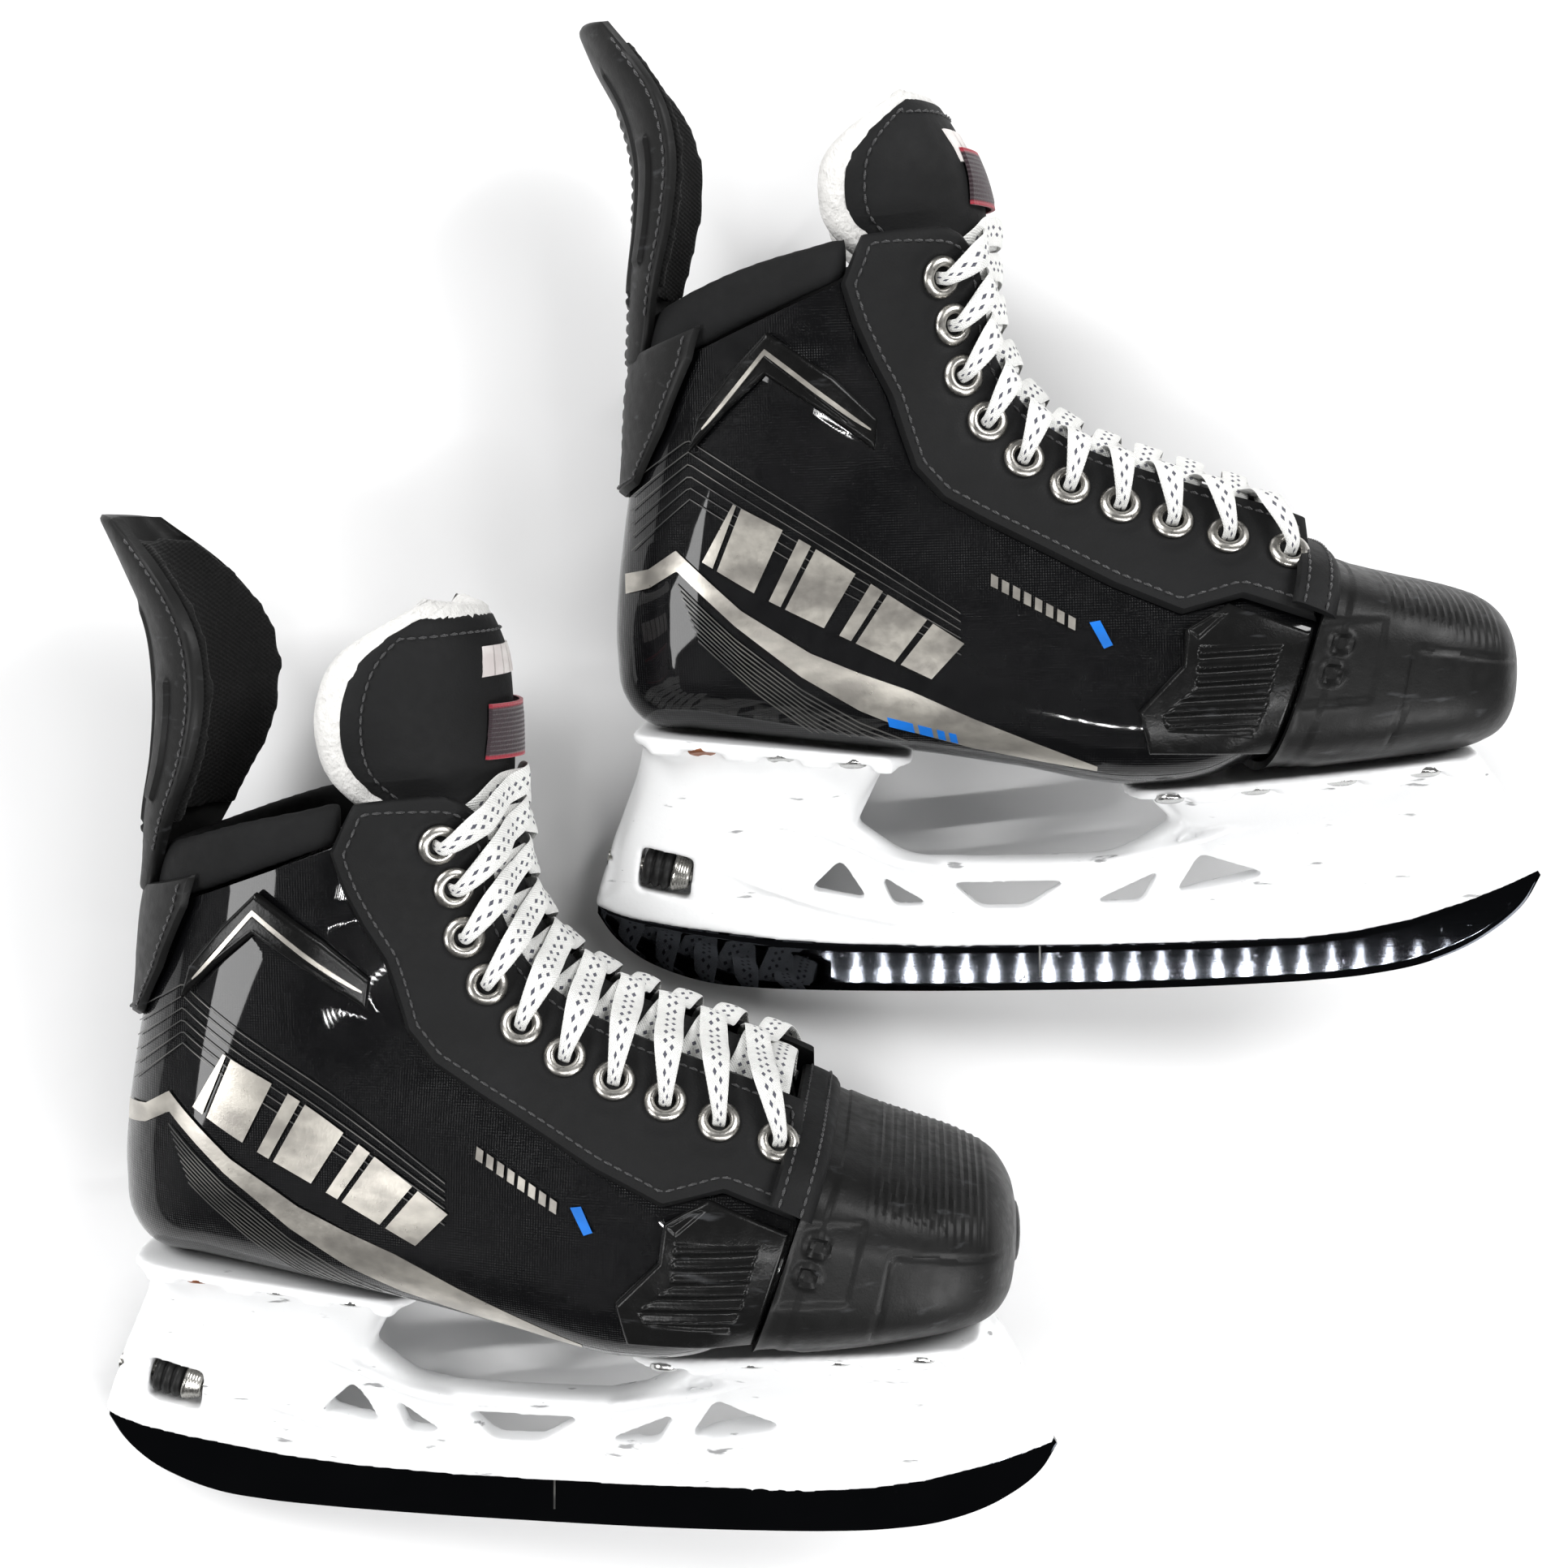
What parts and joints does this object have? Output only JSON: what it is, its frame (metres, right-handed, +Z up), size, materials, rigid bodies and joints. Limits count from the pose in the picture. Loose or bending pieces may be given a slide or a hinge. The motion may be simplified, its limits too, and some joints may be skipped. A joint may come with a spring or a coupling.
{
  "type": "ice skates",
  "caption": "Pair of ice hockey skates lying on their sides: rigid laced boots with tendon guards, and blade holders with quick-release steel runners.",
  "frame": {"origin": "centre of the bounding box of the pair as it lies, on the floor", "axes": "+Z up; both toes point along +X; the blades face -Y; the right skate lies on the -X -Y side of the left one"},
  "size_m": [0.4444, 0.4574, 0.1148],
  "materials": {
    "shell_composite": "gloss black woven composite under clear coat",
    "liner_fabric": "black brushed microfibre",
    "insole_foam": "dark grey foam with a fabric top",
    "toe_cap_plastic": "satin black moulded plastic, scuffed",
    "facing_synthetic": "matte black coated synthetic, stitched",
    "eyelet_nickel": "worn nickel plate",
    "vent_plastic": "ribbed black plastic",
    "badge_plastic": "gloss black with a silver line",
    "collar_padding": "matte black padded synthetic",
    "tongue_synthetic": "matte black synthetic, stitched",
    "felt_white": "white needled felt",
    "loop_elastic": "dark red and black elastic webbing",
    "lace_cotton": "white flat woven lace with dark dashes",
    "guard_rubber": "black thermoplastic rubber",
    "holder_nylon": "gloss white glass-filled nylon, scuffed",
    "runner_steel": "black mirror-polished steel",
    "lock_steel": "turned steel",
    "grip_rubber": "black ribbed rubber"
  },
  "bodies": {
    "left_boot": {"left_ankle_badge_lateral": "badge_plastic", "left_ankle_badge_medial": "badge_plastic", "left_boot_shell": "shell_composite", "left_collar_pad": "collar_padding", "left_eyelets_lateral": "eyelet_nickel", "left_eyelets_medial": "eyelet_nickel", "left_facing_lateral": "facing_synthetic", "left_facing_medial": "facing_synthetic", "left_holder": "holder_nylon", "left_inner_liner": "liner_fabric", "left_insole": "insole_foam", "left_lace": "lace_cotton", "left_tendon_guard_anchor": "guard_rubber", "left_toe_cap": "toe_cap_plastic", "left_tongue_cover_lower": "tongue_synthetic", "left_tongue_felt_lower": "felt_white", "left_vent_panel_lateral": "vent_plastic", "left_vent_panel_medial": "vent_plastic"},
    "left_tongue": {"left_tongue_cover_upper": "tongue_synthetic", "left_tongue_felt_upper": "felt_white", "left_tongue_loop": "loop_elastic"},
    "left_tendon_guard": {"left_tendon_guard": "guard_rubber", "left_tendon_guard_pad": "liner_fabric"},
    "left_lock_wheel": {"left_lock_wheel": "lock_steel", "left_lock_grip": "grip_rubber"},
    "left_lock_bolt": {"left_lock_bolt": "lock_steel"},
    "left_runner": {"left_runner": "runner_steel"},
    "right_boot": {"right_ankle_badge_lateral": "badge_plastic", "right_ankle_badge_medial": "badge_plastic", "right_boot_shell": "shell_composite", "right_collar_pad": "collar_padding", "right_eyelets_lateral": "eyelet_nickel", "right_eyelets_medial": "eyelet_nickel", "right_facing_lateral": "facing_synthetic", "right_facing_medial": "facing_synthetic", "right_holder": "holder_nylon", "right_inner_liner": "liner_fabric", "right_insole": "insole_foam", "right_lace": "lace_cotton", "right_tendon_guard_anchor": "guard_rubber", "right_toe_cap": "toe_cap_plastic", "right_tongue_cover_lower": "tongue_synthetic", "right_tongue_felt_lower": "felt_white", "right_vent_panel_lateral": "vent_plastic", "right_vent_panel_medial": "vent_plastic"},
    "right_tongue": {"right_tongue_cover_upper": "tongue_synthetic", "right_tongue_felt_upper": "felt_white", "right_tongue_loop": "loop_elastic"},
    "right_tendon_guard": {"right_tendon_guard": "guard_rubber", "right_tendon_guard_pad": "liner_fabric"},
    "right_lock_wheel": {"right_lock_wheel": "lock_steel", "right_lock_grip": "grip_rubber"},
    "right_lock_bolt": {"right_lock_bolt": "lock_steel"},
    "right_runner": {"right_runner": "runner_steel"}
  },
  "joints": [
    {"name": "right_skate_lift", "type": "slide", "parent": "left_boot", "child": "right_boot", "axis": [0, 0, 1], "range_m": [0, 0.25]},
    {"name": "left_tongue_flex", "type": "hinge", "parent": "left_boot", "child": "left_tongue", "pos_m": [0.04863, 0.17051, 0.069], "axis": [0.1649, 0.1762, -0.9704], "range_deg": [0, 48], "stiffness_Nm_per_rad": 0.5},
    {"name": "left_tendon_guard_flex", "type": "hinge", "parent": "left_boot", "child": "left_tendon_guard", "pos_m": [-0.05616, 0.13683, 0.04507], "axis": [0.1649, 0.1762, -0.9704], "range_deg": [-25, 6], "stiffness_Nm_per_rad": 2},
    {"name": "left_lock_wheel_spin", "type": "hinge", "parent": "left_boot", "child": "left_lock_wheel", "pos_m": [-0.04637, -0.02533, 0.0173], "axis": [0.9678, -0.2184, 0.1249], "range_deg": [0, 720]},
    {"name": "left_lock_bolt_draw", "type": "slide", "parent": "left_boot", "child": "left_lock_bolt", "axis": [-0.9678, 0.2184, -0.1249], "range_m": [0, 0.003]},
    {"name": "left_runner_release", "type": "slide", "parent": "left_boot", "child": "left_runner", "axis": [0.0499, -0.9841, -0.1702], "range_m": [0, 0.03]},
    {"name": "right_tongue_flex", "type": "hinge", "parent": "right_boot", "child": "right_tongue", "pos_m": [-0.09127, 0.00817, 0.06384], "axis": [0.1577, 0.1463, -0.9766], "range_deg": [0, 48], "stiffness_Nm_per_rad": 0.5},
    {"name": "right_tendon_guard_flex", "type": "hinge", "parent": "right_boot", "child": "right_tendon_guard", "pos_m": [-0.19819, -0.02001, 0.04235], "axis": [0.1577, 0.1463, -0.9766], "range_deg": [-25, 6], "stiffness_Nm_per_rad": 2},
    {"name": "right_lock_wheel_spin", "type": "hinge", "parent": "right_boot", "child": "right_lock_wheel", "pos_m": [-0.19803, -0.18301, 0.01796], "axis": [0.956, -0.2703, 0.1139], "range_deg": [0, 720]},
    {"name": "right_lock_bolt_draw", "type": "slide", "parent": "right_boot", "child": "right_lock_bolt", "axis": [-0.956, 0.2703, -0.1139], "range_m": [0, 0.003]},
    {"name": "right_runner_release", "type": "slide", "parent": "right_boot", "child": "right_runner", "axis": [-0.0086, -0.9887, -0.1495], "range_m": [0, 0.03]}
  ],
  "couplings": [
    {"joint": "left_lock_bolt_draw", "follows": "left_lock_wheel_spin", "m_per_rad": 0.000238},
    {"joint": "right_lock_bolt_draw", "follows": "right_lock_wheel_spin", "m_per_rad": 0.000238}
  ]
}
